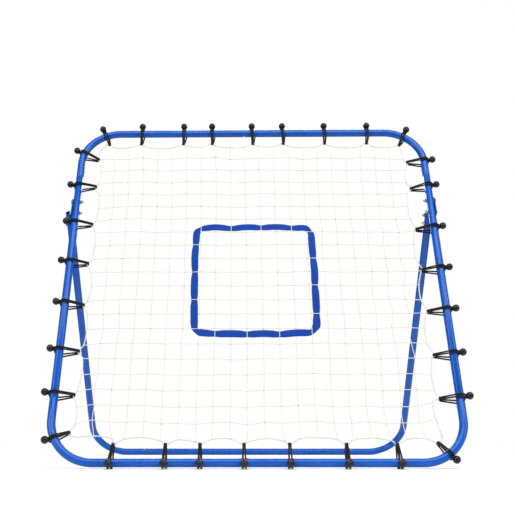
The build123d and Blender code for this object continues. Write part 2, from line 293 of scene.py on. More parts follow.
def webbing_weave(light, dark):
    """Flat polypropylene webbing: warp yarns along the strap, weft across it."""
    warp_pitch, weft_pitch = 0.0013, 0.0017

    def build(tree):
        run, turn = run_and_turn(tree)[:2]
        warp = maths(tree, "MULTIPLY", turn, 1 / warp_pitch)
        weft = maths(tree, "MULTIPLY", run, 1 / weft_pitch)
        height, top = crossing_yarns(tree, warp, weft)
        place = object_place(tree)
        worn = noise(tree, place, 0.03)
        # painted shade: darker between the yarns where they dip, mixed with random wear
        mixed = maths(tree, "MULTIPLY_ADD", height, 0.55, maths(tree, "MULTIPLY", worn, 0.45))
        colour = ramp(tree, mixed, [(0.15, srgb(dark)), (0.7, srgb(light))])
        return colour, mapped(tree, top, 0.0, 1.0, 0.48, 0.66), height, 0.00018
    return build


# Semi-gloss blue powder coat: pale, slightly broken glints along every tube
POWDER_COAT = finish_material("blue_powder_coat", coated("0054B4", "004CA9"), Coat_Weight=0.15,
                              Coat_Roughness=0.07, Specular_IOR_Level=0.25)
# The same coat on flat plate, its colour darkened as painted shade, and a little duller
SHADED_PLATE_COAT = finish_material("blue_plate_coat", coated("003A86", "002A6A"), Coat_Weight=0.15,
                             Coat_Roughness=0.2)
# Bright zinc: the small warm sparks at the hinge and the joints
ZINC = finish_material("zinc_plate", plated("D8D2C4", "B5AD9C"), Metallic=1.0)
# Black ball plastic: nearly black, with a soft highlight
BALL_PLASTIC = finish_material("black_ball_plastic", moulded("110F0E", "060505"),
                               Specular_IOR_Level=0.4)
# Black braided elastic: dull, its yarn hollows darkened as painted shade, the crowns a little browner
ELASTIC = finish_material("black_braided_elastic",
                          braided("171313", "040303", 6, 0.009, 0.01, 0.00022),
                          Sheen_Weight=0.03, Sheen_Roughness=0.5, Specular_IOR_Level=0.3)
# White knotted twine: soft off-white that nearly melts into a pale background
TWINE = finish_material("white_net_twine", braided("E6E0D2", "DAD3C4", 4, 0.008, 0.02, 0.0001),
                        Sheen_Weight=0.2)
ROPE = finish_material("white_edge_rope", braided("E4DED0", "D6CFC0", 6, 0.012, 0.02, 0.00015),
                       Sheen_Weight=0.2)
# Blue polypropylene webbing: matt and deep, with painted shade as darker lines between the picks
WEBBING = finish_material("blue_webbing", webbing_weave("0040A2", "002470"), Specular_IOR_Level=0.15)


# ---- meshes


def reworked(mesh, work):
    """Changes a mesh by a function of its bmesh."""
    made = bmesh.new()
    made.from_mesh(mesh)
    work(made)
    made.to_mesh(mesh)
    made.free()


def new_object(name, data):
    """An object in the scene that holds the given data."""
    made = bpy.data.objects.new(name, data)
    bpy.context.scene.collection.objects.link(made)
    return made


def piece(name, mesh, replaced, body="rebound_frame", sharp=None):
    """Puts a finished mesh into the scene as a named piece of the object."""
    reworked(mesh, lambda made: bmesh.ops.recalc_face_normals(made, faces=made.faces))
    mesh.polygons.foreach_set("use_smooth", [True] * len(mesh.polygons))
    if sharp:
        mesh.set_sharp_from_angle(angle=radians(sharp))
    mesh.name = name
    shown = new_object(name, mesh)
    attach(shown, body)
    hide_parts(*replaced)


def lofted(rings, closed=False, along=None, around=None):
    """Verts, faces and face-corner UVs of a skin over rings of points, its ends capped."""
    rings = np.asarray(rings, float)
    count, sides = rings.shape[:2]
    along = np.arange(count + 1.0) if along is None else along
    around = np.arange(sides + 1.0) if around is None else around
    faces, uvs = [], []
    for i in range(count if closed else count - 1):
        a, b = i * sides, (i + 1) % count * sides
        for j in range(sides):
            k = (j + 1) % sides
            faces.append((a + j, a + k, b + k, b + j))
            uvs += [(along[i], around[j]), (along[i], around[j + 1]),
                    (along[i + 1], around[j + 1]), (along[i + 1], around[j])]
    if not closed:
        faces.append(tuple(range(sides - 1, -1, -1)))
        faces.append(tuple(range((count - 1) * sides, count * sides)))
        uvs += [(0.0, 0.0)] * (2 * sides)
    return rings.reshape(-1, 3), faces, uvs


def mesh_of(parts, material):
    """One mesh from several (verts, faces, uvs)."""
    verts, faces, uvs, start = [], [], [], 0
    for part_verts, part_faces, part_uvs in parts:
        verts += [tuple(v) for v in part_verts]
        faces += [tuple(i + start for i in face) for face in part_faces]
        uvs += part_uvs
        start += len(part_verts)
    mesh = bpy.data.meshes.new("piece")
    mesh.from_pydata(verts, [], faces)
    mesh.uv_layers.new(name="UVMap").data.foreach_set("uv", np.array(uvs, np.float32).ravel())
    mesh.materials.append(material)
    return mesh


def moved(part, transform):
    verts, faces, uvs = part
    matrix = np.array(transform)
    return verts @ matrix[:3, :3].T + matrix[:3, 3], faces, uvs


# ---- trees that grow pieces along paths


def new_tree(name, sizes):
    """A geometry tree with named size inputs, and its input node."""
    tree = bpy.data.node_groups.new(name, "GeometryNodeTree")
    tree.interface.new_socket("Geometry", in_out="INPUT", socket_type="NodeSocketGeometry")
    for label in sizes:
        tree.interface.new_socket(label, in_out="INPUT", socket_type="NodeSocketFloat")
    tree.interface.new_socket("Geometry", in_out="OUTPUT", socket_type="NodeSocketGeometry")
    return tree, tree.nodes.new("NodeGroupInput").outputs


def end_tree(tree, geometry, material):
    """Realizes what the tree made and gives it its material."""
    real = add(tree, "GeometryNodeRealizeInstances", {0: geometry}).outputs[0]
    coated_mesh = add(tree, "GeometryNodeSetMaterial", {"Geometry": real, "Material": material})
    tree.links.new(coated_mesh.outputs[0], tree.nodes.new("NodeGroupOutput").inputs[0])
    return tree


def circle(tree, sides, radius):
    return add(tree, "GeometryNodeCurvePrimitiveCircle", {"Resolution": sides, "Radius": radius}).outputs[0]


def skinned(tree, path, profile, scale=1.0, capped=False):
    """The skin of a profile drawn along a path."""
    inputs = {"Curve": path, "Profile Curve": profile, "Scale": scale, "Fill Caps": capped}
    return add(tree, "GeometryNodeCurveToMesh", inputs).outputs[0]


def stored(tree, geometry, name, value, **settings):
    inputs = {"Geometry": geometry, "Name": name, "Value": value}
    return add(tree, "GeometryNodeStoreNamedAttribute", inputs, **settings).outputs[0]


def recalled(tree, name, kind="FLOAT"):
    """A value that was stored by name."""
    return add(tree, "GeometryNodeInputNamedAttribute", {"Name": name}, data_type=kind).outputs[0]


def tube_tree(material):
    """A tube with a real wall round each path, its bore radius read from the path."""
    tree, sizes = new_tree("tube", ["Wall"])
    path = add(tree, "GeometryNodeMeshToCurve", {0: sizes["Geometry"]}).outputs[0]
    skin = skinned(tree, path, circle(tree, 48, 1.0), recalled(tree, "bore"))
    wall = add(tree, "GeometryNodeExtrudeMesh",
               {"Mesh": skin, "Offset Scale": sizes["Wall"], "Individual": False}).outputs[0]
    inside = add(tree, "GeometryNodeFlipFaces", {0: skin}).outputs[0]
    both = tree.nodes.new("GeometryNodeJoinGeometry")
    tree.links.new(wall, both.inputs[0])
    tree.links.new(inside, both.inputs[0])
    welded = add(tree, "GeometryNodeMergeByDistance", {"Geometry": both.outputs[0], "Distance": 1e-6})
    return end_tree(tree, welded.outputs[0], material)


def cord_tree(material, sides, lobes):
    """A cord laid up from strands along each path, with its length and girth as UVs."""
    tree, sizes = new_tree("cord", ["Diameter", "Step", "Lay", "Groove"])
    path = add(tree, "GeometryNodeMeshToCurve", {0: sizes["Geometry"]}).outputs[0]
    path = add(tree, "GeometryNodeResampleCurve", {"Curve": path, "Length": sizes["Step"]},
               mode="LENGTH").outputs[0]
    length = tree.nodes.new("GeometryNodeSplineParameter").outputs["Length"]
    turns = maths(tree, "DIVIDE", length, sizes["Lay"])
    tilt = maths(tree, "MULTIPLY", turns, 2 * pi)
    tilted = add(tree, "GeometryNodeSetCurveTilt", {"Curve": path, "Tilt": tilt}).outputs[0]
    path = stored(tree, tilted, "run", length, data_type="FLOAT")
    around = circle(tree, sides, maths(tree, "DIVIDE", sizes["Diameter"], 2.0))
    factor = tree.nodes.new("GeometryNodeSplineParameter").outputs["Factor"]
    lobe = maths(tree, "ABSOLUTE", maths(tree, "COSINE", maths(tree, "MULTIPLY", factor, pi * lobes)))
    dip = maths(tree, "MULTIPLY", maths(tree, "SUBTRACT", 1.0, lobe), sizes["Groove"])
    place = tree.nodes.new("GeometryNodeInputPosition").outputs[0]
    shrunk = add(tree, "ShaderNodeVectorMath", {0: place, "Scale": maths(tree, "SUBTRACT", 1.0, dip)},
                 operation="SCALE").outputs[0]
    profile = add(tree, "GeometryNodeSetPosition", {"Geometry": around, "Position": shrunk}).outputs[0]
    profile = stored(tree, profile, "turn", factor, data_type="FLOAT")
    skin = skinned(tree, path, profile, capped=True)
    run, turn = recalled(tree, "run"), recalled(tree, "turn")
    mean = add(tree, "GeometryNodeFieldOnDomain", {0: turn}, domain="FACE", data_type="FLOAT").outputs[0]
    # the last face of each ring starts at a turn near 1 and ends at 0, which has to read as 1
    at_start = maths(tree, "LESS_THAN", turn, 0.001)
    wraps = maths(tree, "MULTIPLY", at_start, maths(tree, "GREATER_THAN", mean, 0.3))
    uv = add(tree, "ShaderNodeCombineXYZ", {0: run, 1: maths(tree, "ADD", turn, wraps)}).outputs[0]
    skin = stored(tree, skin, "UVMap", uv, data_type="FLOAT2", domain="CORNER")
    return end_tree(tree, skin, material)


def knot_tree(material):
    """A turned hitch on each point: a small ring of twine drawn round the crossing."""
    tree, sizes = new_tree("knots", ["Ring radius", "Twine radius"])
    hitch = skinned(tree, circle(tree, 9, sizes["Ring radius"]), circle(tree, 6, sizes["Twine radius"]))
    least_turn, most_turn = (0.35, -0.4, 0.0), (1.0, 0.4, 6.28)
    spin = add(tree, "FunctionNodeRandomValue", {0: least_turn, 1: most_turn, "Seed": 4},
               data_type="FLOAT_VECTOR").outputs[0]
    placed = add(tree, "GeometryNodeInstanceOnPoints",
                 {"Points": sizes["Geometry"], "Instance": hitch, "Rotation": spin})
    return end_tree(tree, placed.outputs[0], material)


def ball_tree(material):
    """A moulded ball on each point, with its neck and parting line turned to face the tube."""
    tree, sizes = new_tree("balls", ["Ball radius", "Neck length"])
    seam_proud, seam_width, neck_share = 0.00015, 0.0006, 0.42
    ball_r = sizes["Ball radius"]
    ball = add(tree, "GeometryNodeMeshUVSphere", {0: 36, 1: 22, "Radius": ball_r}).outputs[0]
    seam = add(tree, "GeometryNodeMeshCylinder",
               {"Vertices": 48, "Radius": maths(tree, "ADD", ball_r, seam_proud),
                "Depth": seam_width}).outputs[0]
    neck = add(tree, "GeometryNodeMeshCylinder",
               {"Vertices": 24, "Radius": maths(tree, "MULTIPLY", ball_r, neck_share),
                "Depth": sizes["Neck length"]}).outputs[0]
    drop = add(tree, "ShaderNodeCombineXYZ", {2: maths(tree, "MULTIPLY", ball_r, -1.0)}).outputs[0]
    neck = add(tree, "GeometryNodeTransform", {"Geometry": neck, "Translation": drop}).outputs[0]
    whole = tree.nodes.new("GeometryNodeJoinGeometry")
    for part in (ball, seam, neck):
        tree.links.new(part, whole.inputs[0])
    aim = recalled(tree, "aim", "FLOAT_VECTOR")
    turn = add(tree, "FunctionNodeAlignRotationToVector", {"Vector": aim}, axis="Z")
    placed = add(tree, "GeometryNodeInstanceOnPoints",
                 {"Points": sizes["Geometry"], "Instance": whole.outputs[0], "Rotation": turn.outputs[0]})
    return end_tree(tree, placed.outputs[0], material)


def paths_mesh(paths, **values):
    """Polylines as a mesh of edges, with per-point values stored by name."""
    mesh = bpy.data.meshes.new("paths")
    edges, start = [], 0
    for path in paths:
        edges += [(start + i, start + i + 1) for i in range(len(path) - 1)]
        start += len(path)
    mesh.from_pydata([tuple(p) for path in paths for p in path], edges, [])
    for name, value in values.items():
        value = np.asarray(value, np.float32)
        kind, key = ("FLOAT", "value") if value.ndim == 1 else ("FLOAT_VECTOR", "vector")
        mesh.attributes.new(name, kind, "POINT").data.foreach_set(key, value.ravel())
    return mesh


def grown(source, tree, **sizes):
    """The plain mesh that a tree makes from a source mesh."""
    holder = new_object("growing", source)
    modifier = holder.modifiers.new("grow", "NODES")
    modifier.node_group = tree
    for item in tree.interface.items_tree:
        if item.in_out == "INPUT" and item.name.replace(" ", "_") in sizes:
            modifier[item.identifier] = sizes[item.name.replace(" ", "_")]
    graph = bpy.context.evaluated_depsgraph_get()
    mesh = bpy.data.meshes.new_from_object(holder.evaluated_get(graph), preserve_all_data_layers=True,
                                           depsgraph=graph)
    holder.modifiers.clear()
    bpy.data.objects.remove(holder)
    for spare in ("bore", "run", "turn", "aim"):
        if spare in mesh.attributes:
            mesh.attributes.remove(mesh.attributes[spare])
    return mesh


# ---- tubes


def bent(points, step=3.0):
    """A polyline with one right-angled corner, rounded to the bend radius."""
    start, corner, end = (np.array(p, float) for p in points)
    back, on = ((p - corner) / np.linalg.norm(p - corner) for p in (start, end))
    middle = corner + BEND_R * (back + on)
    turns = np.radians(np.arange(0, 90 + step / 2, step))
    arc = [middle - BEND_R * (on * cos(t) + back * sin(t)) for t in turns]
    return np.array([start, *arc, end])


def with_lips(path, lip_ends):
    """Adds the small turned-in lip at tube ends that meet another tube, and gives the bores."""
    full = TUBE_R - TUBE_WALL
    points, bores = list(path), [full] * len(path)
    for end in lip_ends:
        order = 1 if end == 0 else -1
        points, bores = points[::order], bores[::order]
        tip, inner = points[:2]
        inward = (inner - tip) / np.linalg.norm(inner - tip)
        points = [tip, tip + inward * 0.0004, tip + inward * 0.0011, *points[1:]]
        bores = [full - 0.0009, full - 0.00035, full, *bores[1:]]
        points, bores = points[::order], bores[::order]
    return np.array(points), bores


def tube_piece(name, path, lip_ends, swages, to_world, body):
    """One tube: its bent length, and the drawn-down tips that enter its neighbours."""
    points, bores = with_lips(path, lip_ends)
    paths = [to_world(points)]
    for tip, direction in swages:
        tip, direction = np.array(tip, float), np.array(direction, float)
        paths.append(to_world(np.array([tip - direction * SWAGE_ROOT, tip + direction * SWAGE_LENGTH])))
        bores += [SWAGE_R - TUBE_WALL] * 2
    mesh = grown(paths_mesh(paths, bore=bores), TUBES, Wall=TUBE_WALL)
    piece(name, mesh, [name], body, sharp=35)


TUBES = tube_tree(POWDER_COAT)
for end, up in (("bottom", 1), ("top", -1)):
    for side, sign in (("left", -1), ("right", 1)):
        bar = -up * HALF
        route = bent([(sign * HALF, bar + up * CORNER_LEG), (sign * HALF, bar), (0.0, bar)])
        tips = [((0.0, bar), (-1, 0))] if side == "right" else []
        tube_piece(f"corner_{end}_{side}", route, (0, -1), tips, on_frame, "rebound_frame")
for side, sign in (("left", -1), ("right", 1)):
    joint = HALF - CORNER_LEG
    tips = [((sign * HALF, joint), (0, 1)), ((sign * HALF, -joint), (0, -1))]
    route = np.array([(sign * HALF, -joint), (sign * HALF, 0.0), (sign * HALF, joint)])
    tube_piece(f"upright_{side}", route, (0, -1), tips, on_frame, "rebound_frame")
    leg_x = LEFT_LEG_X if side == "left" else RIGHT_LEG_X
    foot_x = leg_x - sign * STAND_FOOT
    route = bent([(leg_x, LEG_TOP_END), (leg_x, -LEG_LENGTH), (foot_x, -LEG_LENGTH)])
    tube_piece(f"leg_{side}", route, (-1,), [], on_stand, "folding_stand")
bar_ends = (LEFT_LEG_X + STAND_FOOT, RIGHT_LEG_X - STAND_FOOT)
route = np.array([(x, -LEG_LENGTH) for x in (bar_ends[0], sum(bar_ends) / 2, bar_ends[1])])
tips = [((bar_ends[0], -LEG_LENGTH), (-1, 0)), ((bar_ends[1], -LEG_LENGTH), (1, 0))]
tube_piece("rear_bar", route, (0, -1), tips, on_stand, "folding_stand")


# ---- hinge plates and fasteners


def circle_points(centre, radius, start=0.0, sweep=360.0, count=40):
    turns = np.radians(start + sweep * np.arange(count) / (count if sweep == 360 else count - 1))
    return np.array(centre) + radius * np.stack([np.cos(turns), np.sin(turns)], 1)


def plate_outlines():
    """The plate's edge, its round holes and its quadrant slot, as (up the frame, out)."""
    sweep = np.degrees(np.arctan2(DOWN_THE_LEG[1], -DOWN_THE_LEG[2])) + 20
    pivot = (PIVOT_Y, PIVOT_Z)
    lock = circle_points(pivot, LOCK_RADIUS, 180, sweep, 3)
    rounds = [circle_points((y, 0), PLATE_EDGE_R) for y in PLATE_BOLTS_Y]
    rounds += [circle_points(c, PLATE_EDGE_R) for c in lock] + [circle_points(pivot, PIVOT_EDGE_R)]
    cloud = np.concatenate(rounds)
    edge = cloud[convex_hull_2d([tuple(p) for p in cloud])]
    holes = [circle_points((y, 0), BOLT_R + 0.0001) for y in PLATE_BOLTS_Y]
    holes.append(circle_points(pivot, BOLT_R + 0.00005))
    slot = np.concatenate([
        circle_points(pivot, LOCK_RADIUS + SLOT_R, 180, sweep, 24),
        circle_points(lock[2], SLOT_R, 180 + sweep, 180, 14),
        circle_points(pivot, LOCK_RADIUS - SLOT_R, 180, sweep, 24)[::-1],
        circle_points(lock[0], SLOT_R, 0, 180, 14),
    ])
    return [edge, *holes, slot]


def plate_mesh():
    """Cut from flat plate, its edges slightly rounded by the coat."""
    rounding = 0.0004
    curve = bpy.data.curves.new("plate", "CURVE")
    curve.dimensions, curve.fill_mode = "2D", "BOTH"
    curve.extrude, curve.bevel_depth, curve.bevel_resolution = PLATE_T / 2 - rounding, rounding, 2
    curve.offset = -rounding
    for outline in plate_outlines():
        spline = curve.splines.new("POLY")
        spline.points.add(len(outline) - 1)
        spline.points.foreach_set("co", np.pad(outline, ((0, 0), (0, 2))).ravel())
        spline.use_cyclic_u = True
    holder = new_object("plate", curve)
    graph = bpy.context.evaluated_depsgraph_get()
    mesh = bpy.data.meshes.new_from_object(holder.evaluated_get(graph))
    bpy.data.objects.remove(holder)
    return mesh


for side, sign in (("left", -1), ("right", 1)):
    mesh = plate_mesh()
    reworked(mesh, lambda made: bmesh.ops.remove_doubles(made, verts=made.verts, dist=1e-6))
    flat = np.zeros(len(mesh.vertices) * 3)
    mesh.vertices.foreach_get("co", flat)
    flat = flat.reshape(-1, 3)
    middle = sign * (PLATE_INNER_X + PLATE_OUTER_X) / 2
    placed = on_frame(np.stack([middle + flat[:, 2], flat[:, 0] - HALF, flat[:, 1]], 1))
    mesh.vertices.foreach_set("co", placed.ravel())
    # the plates take the coat darkened as painted shade
    mesh.materials.clear()
    mesh.materials.append(SHADED_PLATE_COAT)
    name = f"hinge_plate_{side}"
    piece(name, mesh, [name], sharp=35)


SIDES = 48
ANGLES = np.arange(SIDES) * 2 * pi / SIDES
HEX_RADII = HEX_FLATS / 2 / np.cos((ANGLES + pi / 6) % (pi / 3) - pi / 6)
CHAMFER_R = HEX_FLATS / 2 * 0.97


def ring(radius, height):
    """A ring of points about the local z axis; radius and height may change round it."""
    return np.stack([radius * np.cos(ANGLES), radius * np.sin(ANGLES), height + 0 * ANGLES], 1)


def hex_rings(height):
    """A chamfered hexagonal prism from its upper face down to its seat."""
    shoulder = height - np.maximum(HEX_RADII - CHAMFER_R, 0) * tan(radians(30))
    return [ring(CHAMFER_R, height), ring(HEX_RADII, shoulder), ring(HEX_RADII, 0.0002),
            ring(HEX_RADII * 0.985, 0.0)]


def bolt(shank):
    """A hex bolt, its head on the local plane and its thread running down to the tip."""
    rings = [ring(0.0006, HEAD_H), *hex_rings(HEAD_H), ring(BOLT_R, 0.0)]
    plain = max(shank - THREAD_LENGTH, 0.001)
    rings.append(ring(BOLT_R, -plain))
    for drop in np.arange(plain + 0.0005, shank - 0.0008, THREAD_PITCH / 6):
        turn = (drop / THREAD_PITCH + ANGLES / (2 * pi)) % 1.0
        rings.append(ring(BOLT_R - THREAD_DEPTH * np.abs(2 * turn - 1), -drop))
    rings += [ring(BOLT_R - THREAD_DEPTH, -shank + 0.0005), ring(BOLT_R - 2 * THREAD_DEPTH, -shank)]
    return lofted(rings)


def nut():
    """A hex nut on the local plane, open through its bore."""
    bore = BOLT_R + 0.00002
    rings = [ring(bore, NUT_H - 0.0003), ring(bore + 0.0003, NUT_H), *hex_rings(NUT_H),
             ring(bore + 0.0003, 0.0), ring(bore, 0.0003)]
    return lofted(rings, closed=True)


def joint_screw():
    """A pan-head screw with a cross recess."""
    recess_half, recess_reach, recess_depth = 0.00055, 0.0021, 0.0011
    rings = []
    for share in np.linspace(0.06, 1.0, 20):
        radius = SCREW_HEAD_R * share
        dome = SCREW_HEAD_H * (1 - 0.55 * share ** 3)
        x, y = np.abs(radius * np.cos(ANGLES)), np.abs(radius * np.sin(ANGLES))
        in_slot = np.clip((recess_half - np.minimum(x, y)) / 0.0002, 0, 1)
        in_cross = in_slot * np.clip((recess_reach - radius) / 0.0003, 0, 1)
        rings.append(ring(radius, dome - recess_depth * in_cross))
    rings += [ring(SCREW_HEAD_R, 0.0), ring(SCREW_R, 0.0), ring(SCREW_R, -SCREW_LENGTH + 0.002),
              ring(0.0004, -SCREW_LENGTH)]
    return lofted(rings)


def fastener_piece(name, parts, body="rebound_frame"):
    piece(name, mesh_of(parts, ZINC), [name], body, sharp=28)


def bolt_pair(head_x, nut_x, place, spin):
    """A bolt and its nut across the object, at a point given by place(x)."""
    outward = 1 if head_x > nut_x else -1
    turn = Matrix.Rotation(spin, 4, "Z")
    shank = abs(head_x - nut_x) + NUT_H + THREAD_PROUD
    head = moved(bolt(shank), turned_to(place(head_x), (outward, 0, 0), UP) @ turn)
    return head, moved(nut(), turned_to(place(nut_x), (-outward, 0, 0), UP) @ turn)


def frame_point(y, z=0.0):
    return lambda x: on_frame((x, y - HALF, z))


bolts, nuts = [], []
for sign in (-1, 1):
    for y in PLATE_BOLTS_Y:
        spin = 7 * y * sign
        head, its_nut = bolt_pair(sign * PLATE_OUTER_X, sign * (HALF - TUBE_R), frame_point(y), spin)
        bolts.append(head)
        nuts.append(its_nut)
fastener_piece("plate_bolts", bolts)
fastener_piece("plate_nuts", nuts)
at_pivot = frame_point(PIVOT_Y, PIVOT_Z)
for name, x_pair, spin in (("left", (LEFT_LEG_X - TUBE_R - LEG_GAP, -PLATE_INNER_X), 0.3),
                           ("right", (PLATE_OUTER_X, RIGHT_LEG_X - TUBE_R - LEG_GAP), 0.8)):
    head, its_nut = bolt_pair(*x_pair, at_pivot, spin)
    fastener_piece(f"pivot_bolt_{name}", [head])
    fastener_piece(f"pivot_nut_{name}", [its_nut])


def at_lock(x):
    return on_stand((x, -LOCK_RADIUS))


for name, x_pair, spin in (("left", (LEFT_LEG_X - TUBE_R, -PLATE_INNER_X + LEG_GAP), 1.1),
                           ("right", (PLATE_OUTER_X + LEG_GAP, RIGHT_LEG_X - TUBE_R), 0.5)):
    head, its_nut = bolt_pair(*x_pair, at_lock, spin)
    fastener_piece(f"lock_bolt_{name}", [head], "folding_stand")
    fastener_piece(f"lock_nut_{name}", [its_nut], "folding_stand")

screws = []
for up in (1, -1):
    bar = -up * HALF
    seat = (-SCREW_FROM_JOINT, bar + up * TUBE_R)
    screws.append(moved(joint_screw(), turned_to(on_frame(seat), up * UP)))
    for sign in (-1, 1):
        seat = (sign * (HALF - TUBE_R), bar + up * (CORNER_LEG - SCREW_FROM_JOINT))
        screws.append(moved(joint_screw(), turned_to(on_frame(seat), (-sign, 0, 0), UP)))
fastener_piece("frame_joint_screws", screws)
screws = []
for x in (bar_ends[0] - SCREW_FROM_JOINT, bar_ends[1] + SCREW_FROM_JOINT):
    screws.append(moved(joint_screw(), turned_to(on_stand((x, TUBE_R - LEG_LENGTH)), -DOWN_THE_LEG)))
fastener_piece("stand_joint_screws", screws, "folding_stand")


# ---- bungee places


def bungee_list():
    """Side name to a list of (tube point, net point, ball swing), on the frame's plane."""
    places = {
        "top": [((a, HALF), (b, HALF - TOP_REACH), SWINGS["top"]) for a, b in TOP_BUNGEES],
        "bottom": [((a, -HALF), (b, BOTTOM_REACH - HALF), SWINGS["bottom"]) for a, b in BOTTOM_BUNGEES],
        "left": [((-HALF, a), (SIDE_REACH - HALF, b), SWINGS["left"]) for a, b in LEFT_BUNGEES],
        "right": [((HALF, a), (HALF - SIDE_REACH, b), SWINGS["right"]) for a, b in RIGHT_BUNGEES],
    }
    straight = HALF - BEND_R
    (_, along), held, swing = places["left"][0]
    inset = BEND_R - (BEND_R ** 2 - (along - straight) ** 2) ** 0.5
    places["left"][0] = ((-HALF + inset, along), held, swing)
    for (end, sign), (turn, held) in CORNER_BUNGEES.items():
        up = 1 if end == "top" else -1
        across, rise = (straight + BEND_R * part(radians(turn)) for part in (sin, cos))
        places[end].append(((sign * across, up * rise), held, SWINGS["corner"]))
    return places


BUNGEES = bungee_list()


# ---- net


def edge_order(held):
    """The net's edge as one loop of node numbers: edge knots and held points, anticlockwise."""
    held_limit = 0.522  # a held point stays this side of the corner knot
    lines = np.arange(MESHES + 1) * MESH_PITCH - NET_HALF
    last, first_held = MESHES, (MESHES + 1) ** 2
    sides = {
        "bottom": (lambda i: (i, 0), 0, 1), "right": (lambda i: (last, i), 1, 1),
        "top": (lambda i: (i, last), 0, -1), "left": (lambda i: (0, i), 1, -1),
    }
    loop = []
    for side, (knot, axis, direction) in sides.items():
        stops = [(lines[i], knot(i)[0] * (last + 1) + knot(i)[1]) for i in range(last + 1)]
        for number, (point, its_side) in enumerate(held):
            if its_side == side:
                stops.append((np.clip(point[axis], -held_limit, held_limit), first_held + number))
        stops.sort(key=lambda stop: direction * stop[0])
        loop += [(node, place) for place, node in stops[:-1]]
    return loop


def relaxed_net():
    """Where the knots and the held points settle once the bungees have drawn the net out."""
    mesh_draw, unevenness = 0.955, 0.02  # twine's rest length over the mesh, and its spread
    edge_slack, edge_stiffness = 1.055, 8.0
    weight, damping, step, steps = 2e-6, 0.9, 0.08, 2500
    held = [(net, side if abs(net[0]) < 0.53 or side in ("left", "right") else "left")
            for side, rows in BUNGEES.items() for _, net, _ in rows]
    lines = np.arange(MESHES + 1) * MESH_PITCH - NET_HALF
    grid = np.stack(np.meshgrid(lines, lines, indexing="ij"), -1).reshape(-1, 2)
    points = np.concatenate([grid, [net for net, _ in held]])
    free = np.arange(len(points)) < len(grid)
    number = np.arange(len(grid)).reshape(MESHES + 1, MESHES + 1)
    rows = [(number[:-1, 1:-1], number[1:, 1:-1]), (number[1:-1, :-1], number[1:-1, 1:])]
    rng = np.random.default_rng(11)
    a = np.concatenate([pair[0].ravel() for pair in rows])
    b = np.concatenate([pair[1].ravel() for pair in rows])
    rest = MESH_PITCH * mesh_draw * (1 + unevenness * rng.standard_normal(len(a)))
    stiff = np.ones(len(a))
    loop = edge_order(held)
    nodes = [node for node, _ in loop]
    places = [place for _, place in loop]
    on = np.roll(nodes, -1)
    spans = np.abs(np.roll(places, -1) - np.array(places))
    spans = np.where(spans > MESH_PITCH * 1.01, MESH_PITCH, spans)
    a, b = np.concatenate([a, nodes]), np.concatenate([b, on])
    rest = np.concatenate([rest, spans * edge_slack])
    stiff = np.concatenate([stiff, np.full(len(nodes), edge_stiffness)])
    speed = np.zeros_like(points)
    for _ in range(steps):
        gap = points[b] - points[a]
        length = np.linalg.norm(gap, axis=1)
        pull = (np.maximum(length - rest, 0) * stiff / np.maximum(length, 1e-9))[:, None] * gap
        force = np.zeros_like(points)
        np.add.at(force, a, pull)
        np.add.at(force, b, -pull)
        force[:, 1] -= weight
        speed = damping * speed + step * force
        points[free] += speed[free]
    return points, number, nodes


def sagged(points):
    """Net points with the slight backward sag of its own weight."""
    across, up = points[..., 0] / NET_HALF, points[..., 1] / NET_HALF
    depth = -NET_SAG * np.clip(1 - across ** 2, 0, 1) * np.clip(1 - up ** 2, 0, 1)
    return np.concatenate([points, depth[..., None]], -1)


def smooth_line(points, closed, steps):
    """A Catmull-Rom line through the points."""
    count = len(points)
    numbers = [i % count if closed else min(max(i, 0), count - 1) for i in range(-1, count + 2)]
    t = (np.arange(steps) / steps)[:, None]
    out = []
    for i in range(count if closed else count - 1):
        p0, p1, p2, p3 = (points[n] for n in numbers[i:i + 4])
        out.append(0.5 * (2 * p1 + (p2 - p0) * t + (2 * p0 - 5 * p1 + 4 * p2 - p3) * t ** 2
                          + (3 * p1 - p0 - 3 * p2 + p3) * t ** 3))
    out = np.concatenate(out)
    return out if closed else np.concatenate([out, points[-1:]])


NET_POINTS, KNOTS, EDGE_NODES = relaxed_net()
cords = [NET_POINTS[row] for way in (KNOTS.T, KNOTS) for row in way[1:-1]]
rng = np.random.default_rng(5)
lines = []
for cord in cords:
    line = sagged(smooth_line(cord, False, 4))
    line[1:-1] += rng.normal(0, CORD_UNEVENNESS, line[1:-1].shape)
    lines.append(on_frame(line))
mesh = grown(paths_mesh(lines), cord_tree(TWINE, 8, 4), Diameter=CORD_D, Step=0.006, Lay=0.048,
             Groove=0.12)
piece("net_mesh", mesh, ["net_mesh"])
knots = on_frame(sagged(NET_POINTS[KNOTS.ravel()]))
mesh = grown(paths_mesh([[k] for k in knots]), knot_tree(TWINE), Ring_radius=0.0021,
             Twine_radius=CORD_D / 2)
piece("net_knots", mesh, [])
edge = smooth_line(sagged(NET_POINTS[EDGE_NODES]), True, 5)
edge = on_frame(np.concatenate([edge, edge[:1]]))
mesh = grown(paths_mesh([edge]), cord_tree(ROPE, 12, 3), Diameter=EDGE_CORD_D, Step=0.0018,
             Lay=0.024, Groove=0.3)
piece("net_edge_cord", mesh, ["net_edge_cord"])


# ---- target webbing


def on_net(points):
    """Where points of the flat net, as (across, up), have gone to in the drawn-out net."""
    cell = (np.asarray(points) + NET_HALF) / MESH_PITCH
    low = np.clip(cell.astype(int), 0, MESHES - 1)
    share = cell - low
    out = 0
    for di in (0, 1):
        for dj in (0, 1):
            weight = np.abs(1 - di - share[:, 0]) * np.abs(1 - dj - share[:, 1])
            out = out + weight[:, None] * NET_POINTS[KNOTS[low[:, 0] + di, low[:, 1] + dj]]
    return out


